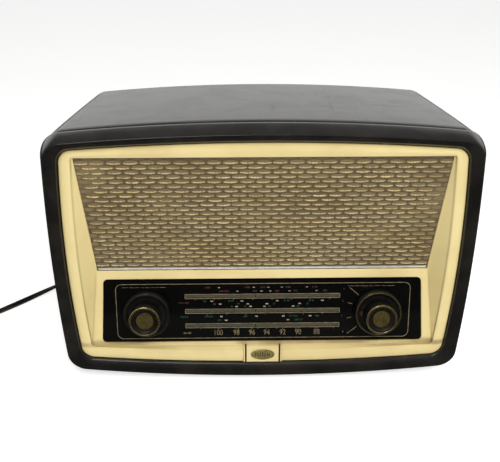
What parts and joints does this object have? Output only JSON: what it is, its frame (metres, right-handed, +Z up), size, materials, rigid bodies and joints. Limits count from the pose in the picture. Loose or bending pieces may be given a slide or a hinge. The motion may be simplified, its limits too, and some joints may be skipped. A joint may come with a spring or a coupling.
{
  "type": "tabletop radio",
  "caption": "Mains valve tabletop radio in a black moulded cabinet with a dished cream front, woven grille cloth, leaning glass dial and concentric control knobs.",
  "frame": {"origin": "on the table under the middle of the set, halfway between the foremost knob rims and the back edge", "axes": "+Z up, +X to the right of someone facing the dial, +Y towards the back of the set"},
  "size_m": [0.6436, 0.305, 0.281],
  "materials": {
    "bakelite": "black phenolic moulding, glossy with fine scuffs",
    "cream_moulding": "aged cream polystyrene, satin gloss",
    "badge_brass": "tarnished brass",
    "knob_brass": "turned brass, lightly tarnished",
    "speaker_fabric": "woven speaker cloth with gold thread",
    "brown_board": "pressed brown hardboard",
    "plywood": "birch plywood",
    "plated_steel": "passivated plated steel",
    "bright_aluminium": "bright aluminium",
    "cone_paper": "black paper pulp",
    "dial_glass": "back-printed black glass",
    "valve_glass": "clear glass with silvered getter",
    "ivory_enamel": "ivory stove enamel",
    "pointer_enamel": "dark red enamel on wire",
    "transformer_iron": "black lacquered laminations",
    "black_rubber": "black rubber",
    "lead_rubber": "rubber insulated twin flex",
    "drive_thread": "waxed cord",
    "switch_paxolin": "brown laminate wafer"
  },
  "bodies": {
    "cabinet": {"cabinet_shell": "bakelite", "front_fascia": "cream_moulding", "badge_block": "cream_moulding", "oval_badge": "badge_brass", "speaker_cloth": "speaker_fabric", "baffle_board": "plywood", "grille_trim_strip": "bright_aluminium", "speaker_frame": "plated_steel", "speaker_magnet": "plated_steel", "dial_glass": "dial_glass", "dial_backplate": "ivory_enamel", "control_bracket": "plated_steel", "dial_lamp_left": "valve_glass", "dial_lamp_right": "valve_glass", "drive_cord": "drive_thread", "gang_frame": "plated_steel", "gang_stator": "bright_aluminium", "tone_control": "plated_steel", "volume_control": "plated_steel", "wave_switch": "switch_paxolin", "chassis": "plated_steel", "mains_transformer": "transformer_iron", "output_transformer": "transformer_iron", "smoothing_capacitor": "bright_aluminium", "if_can_1": "bright_aluminium", "if_can_2": "bright_aluminium", "valve_1": "valve_glass", "valve_2": "valve_glass", "valve_3": "valve_glass", "valve_4": "valve_glass", "valve_5": "valve_glass", "rear_cover": "brown_board", "foot_front_left": "black_rubber", "foot_front_right": "black_rubber", "foot_rear_left": "black_rubber", "foot_rear_right": "black_rubber", "lead_grommet": "black_rubber", "mains_lead": "lead_rubber", "lead_coil": "lead_rubber", "lead_tail": "lead_rubber", "plug": "bakelite"},
    "volume_knob": {"volume_knob": "bakelite", "volume_knob_ring": "knob_brass", "volume_knob_disc": "knob_brass", "volume_shaft": "plated_steel"},
    "tone_knob": {"tone_knob": "bakelite", "tone_shaft": "plated_steel"},
    "wave_knob": {"wave_knob": "bakelite", "wave_knob_ring": "knob_brass", "wave_shaft": "plated_steel"},
    "tuning_knob": {"tuning_knob": "bakelite", "tuning_knob_ring": "knob_brass", "tuning_knob_disc": "knob_brass", "tuning_spindle": "plated_steel"},
    "drive_drum": {"drive_drum": "ivory_enamel", "gang_rotor": "bright_aluminium"},
    "pulley_left": {"drive_pulley_left": "ivory_enamel"},
    "pulley_right": {"drive_pulley_right": "ivory_enamel"},
    "dial_pointer": {"dial_pointer": "pointer_enamel"},
    "speaker_cone": {"speaker_cone": "cone_paper"}
  },
  "joints": [
    {"name": "volume_turn", "type": "hinge", "parent": "cabinet", "child": "volume_knob", "pos_m": [-0.1192, -0.07965, 0.0804], "axis": [0, 0.981, -0.1942], "range_deg": [0, 300]},
    {"name": "tone_turn", "type": "hinge", "parent": "cabinet", "child": "tone_knob", "pos_m": [-0.1192, -0.07965, 0.0804], "axis": [0, 0.981, -0.1942], "range_deg": [-135, 135]},
    {"name": "wave_change_turn", "type": "hinge", "parent": "cabinet", "child": "wave_knob", "pos_m": [0.1192, -0.07965, 0.0804], "axis": [0, 0.981, -0.1942], "range_deg": [-25, 54]},
    {"name": "tuning_turn", "type": "hinge", "parent": "cabinet", "child": "tuning_knob", "pos_m": [0.1192, -0.07965, 0.0804], "axis": [0, 0.981, -0.1942], "range_deg": [-816.47, 1208.94]},
    {"name": "drum_turn", "type": "hinge", "parent": "cabinet", "child": "drive_drum", "pos_m": [0.01, -0.07965, 0.0804], "axis": [0, 0.981, -0.1942], "range_deg": [-73.08, 107.96]},
    {"name": "pulley_left_turn", "type": "hinge", "parent": "cabinet", "child": "pulley_left", "pos_m": [-0.092, -0.07091, 0.12454], "axis": [0, 0.981, -0.1942], "range_deg": [-655.17, 969.15]},
    {"name": "pulley_right_turn", "type": "hinge", "parent": "cabinet", "child": "pulley_right", "pos_m": [0.092, -0.07091, 0.12454], "axis": [0, 0.981, -0.1942], "range_deg": [-655.17, 969.15]},
    {"name": "pointer_slide", "type": "slide", "parent": "cabinet", "child": "dial_pointer", "axis": [1, 0, 0], "range_m": [-0.0572, 0.0846]},
    {"name": "cone_travel", "type": "slide", "parent": "cabinet", "child": "speaker_cone", "axis": [0, -0.9915, -0.1303], "range_m": [-0.0015, 0.0015], "stiffness_N_per_m": 1500}
  ],
  "couplings": [
    {"joint": "drum_turn", "follows": "tuning_turn", "ratio": 0.088889},
    {"joint": "pulley_left_turn", "follows": "tuning_turn", "ratio": 0.8},
    {"joint": "pulley_right_turn", "follows": "tuning_turn", "ratio": 0.8},
    {"joint": "pointer_slide", "follows": "tuning_turn", "m_per_rad": 0.004}
  ]
}
